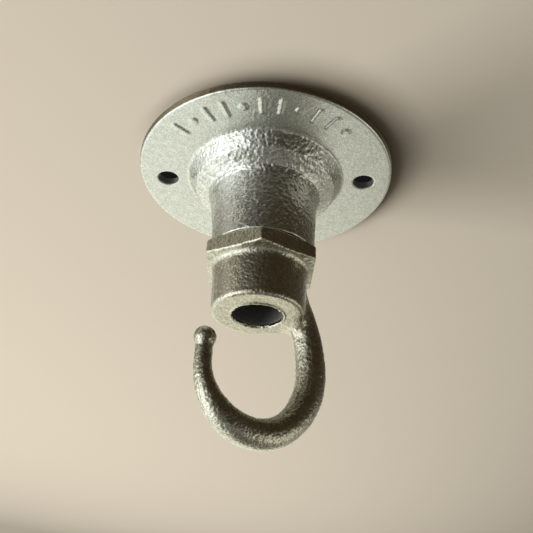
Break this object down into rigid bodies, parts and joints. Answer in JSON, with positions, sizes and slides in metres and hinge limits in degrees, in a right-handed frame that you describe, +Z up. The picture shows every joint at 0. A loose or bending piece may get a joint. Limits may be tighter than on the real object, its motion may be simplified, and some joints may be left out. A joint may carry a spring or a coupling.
{
  "type": "ceiling hook",
  "caption": "Open iron hook with a cable passage, screwed into the neck of a round dome cover that fixes over a ceiling conduit box.",
  "frame": {"origin": "centre of the dome cover's back face, the face that lies on the ceiling", "axes": "+Z up into the ceiling, along the neck and the thread; X through the centres of the two fixing holes; the hook hangs towards -Z"},
  "size_m": [0.065, 0.065, 0.0723],
  "materials": {
    "cover_iron": "galvanised malleable casting, pale greenish grey, fine mottled grain on the plate and a rippled skin on the dome and neck",
    "hook_iron": "galvanised malleable casting, satin grey with a fine sparkle and a faint warm tint"
  },
  "bodies": {
    "cover": {"dome_cover": "cover_iron"},
    "hook": {"male_hook": "hook_iron"}
  },
  "joints": [
    {"name": "hook_turn", "type": "hinge", "parent": "cover", "child": "hook", "pos_m": [0, 0, -0.025], "axis": [0, 0, -1], "range_deg": [-90, 270]}
  ]
}
